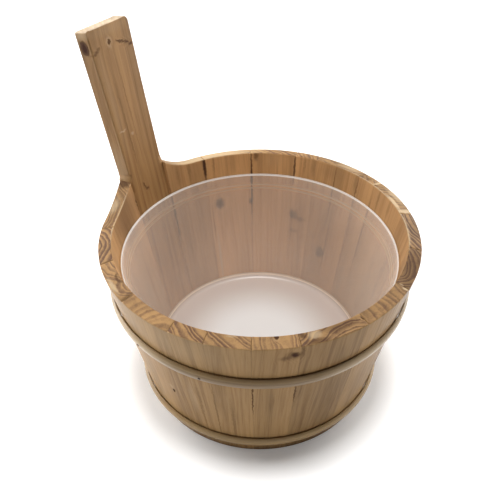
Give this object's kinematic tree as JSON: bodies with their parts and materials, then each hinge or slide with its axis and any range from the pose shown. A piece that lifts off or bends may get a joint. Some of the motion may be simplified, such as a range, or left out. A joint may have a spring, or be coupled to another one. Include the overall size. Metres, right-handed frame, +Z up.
{
  "type": "sauna bucket",
  "caption": "Coopered wooden sauna bucket of tapered staves with one long stave as the handle, two half-round hoops, a boarded bottom and a translucent liner that lifts out.",
  "frame": {"origin": "on the floor under the middle of the bucket's outline box, handle included; the tub's own axis is 13.3 mm towards -Y from it", "axes": "+Z up, +Y towards the handle stave, X across the handle"},
  "size_m": [0.2638, 0.2904, 0.3004],
  "materials": {
    "stave_wood": "satin clear-coated softwood, ring pattern on the rim's end grain",
    "handle_wood": "satin clear-coated softwood with knots, edges eased",
    "hoop_wood": "satin bent wood strip, half round",
    "bottom_wood": "planed softwood",
    "brad_steel": "dark steel",
    "liner_plastic": "milky translucent polypropylene"
  },
  "bodies": {
    "bucket": {"bottom_board_1": "bottom_wood", "bottom_board_2": "bottom_wood", "bottom_board_3": "bottom_wood", "bottom_board_4": "bottom_wood", "handle_stave": "handle_wood", "left_flank_stave": "stave_wood", "lower_hoop": "hoop_wood", "lower_hoop_brad_1": "brad_steel", "lower_hoop_brad_2": "brad_steel", "right_flank_stave": "stave_wood", "stave_01": "stave_wood", "stave_02": "stave_wood", "stave_03": "stave_wood", "stave_04": "stave_wood", "stave_05": "stave_wood", "stave_06": "stave_wood", "stave_07": "stave_wood", "stave_08": "stave_wood", "stave_09": "stave_wood", "stave_10": "stave_wood", "stave_11": "stave_wood", "stave_12": "stave_wood", "stave_13": "stave_wood", "stave_14": "stave_wood", "stave_15": "stave_wood", "stave_16": "stave_wood", "upper_hoop": "hoop_wood", "upper_hoop_brad_1": "brad_steel", "upper_hoop_brad_2": "brad_steel", "upper_hoop_brad_3": "brad_steel", "upper_hoop_brad_4": "brad_steel"},
    "liner": {"liner": "liner_plastic"}
  },
  "joints": [
    {"name": "liner_lift", "type": "slide", "parent": "bucket", "child": "liner", "axis": [0, 0, 1], "range_m": [0, 0.15]}
  ]
}
